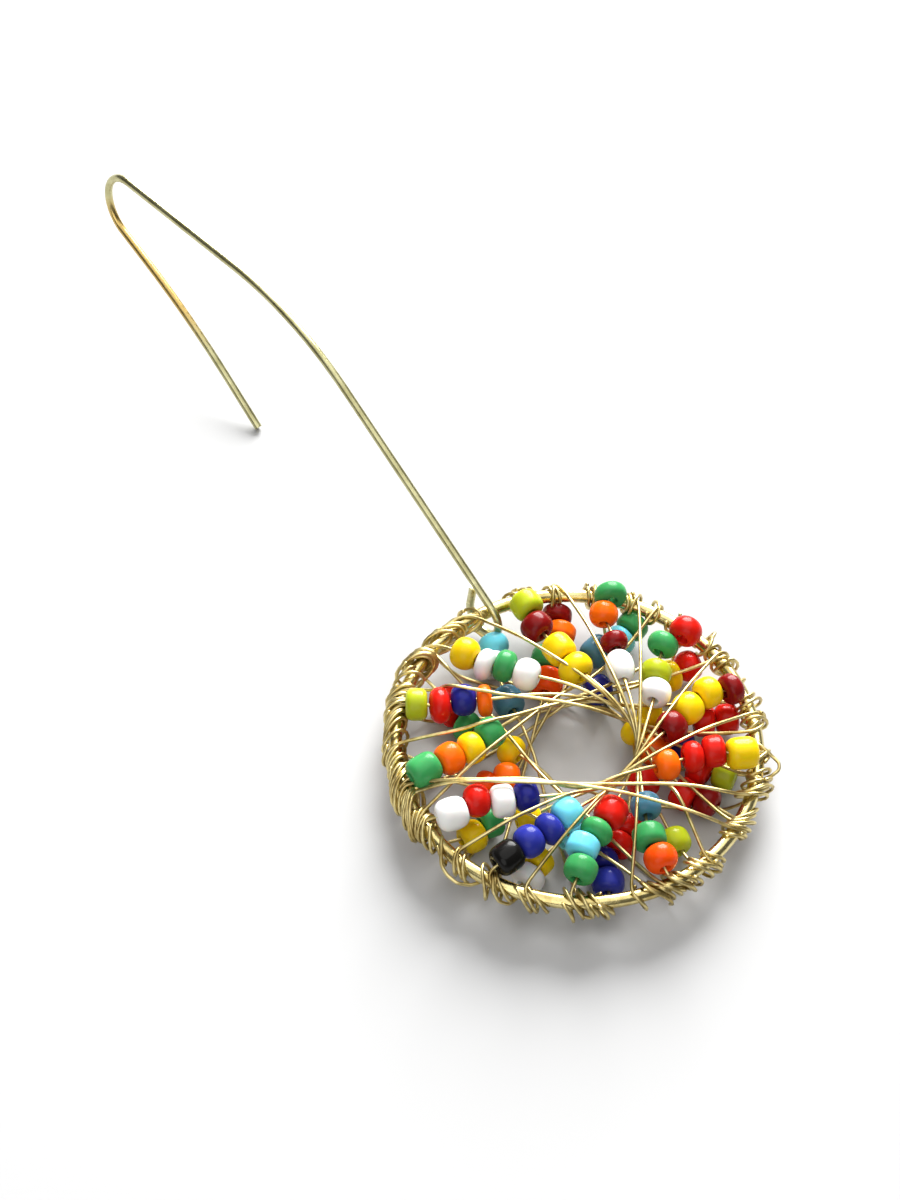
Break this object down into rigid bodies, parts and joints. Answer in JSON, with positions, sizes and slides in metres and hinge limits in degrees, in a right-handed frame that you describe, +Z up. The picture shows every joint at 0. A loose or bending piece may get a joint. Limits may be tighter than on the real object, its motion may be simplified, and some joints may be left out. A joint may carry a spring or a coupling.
{
  "type": "beaded drop earring",
  "caption": "Drop earring with a wire hoop wound on both faces with thin wire and glass seed beads round an open middle, on a long open ear hook.",
  "frame": {"origin": "on the surface that the earring lies on, under the middle of the hoop", "axes": "+Z up, square to the hoop; +Y away from the viewer of the picture; the ear hook leaves the hoop toward -X and +Y"},
  "size_m": [0.068, 0.0759, 0.0196],
  "materials": {
    "hoop_wire": "bright polished, pale gold",
    "ear_wire": "bright polished, pale gold",
    "thin_wire": "polished, warm gold, coppery in shade",
    "glass_yellow": "glossy, opaque",
    "glass_white": "glossy, opaque",
    "glass_green": "glossy, opaque",
    "glass_lime": "glossy, opaque",
    "glass_red": "glossy, opaque",
    "glass_navy": "glossy, opaque",
    "glass_orange": "glossy, opaque",
    "glass_black": "glossy, opaque",
    "glass_blue": "glossy, opaque",
    "glass_sky": "glossy, opaque",
    "glass_coral": "glossy, opaque",
    "glass_teal": "glossy, opaque",
    "glass_garnet": "glossy, opaque"
  },
  "bodies": {
    "root": {"hoop": "hoop_wire", "ear_hook": "ear_wire", "rim_wraps": "thin_wire", "front_wires": "thin_wire", "back_wires": "thin_wire", "beads_yellow": "glass_yellow", "beads_white": "glass_white", "beads_green": "glass_green", "beads_lime": "glass_lime", "beads_red": "glass_red", "beads_navy": "glass_navy", "beads_orange": "glass_orange", "beads_black": "glass_black", "beads_blue": "glass_blue", "beads_sky": "glass_sky", "beads_coral": "glass_coral", "beads_teal": "glass_teal", "beads_garnet": "glass_garnet"}
  },
  "joints": []
}
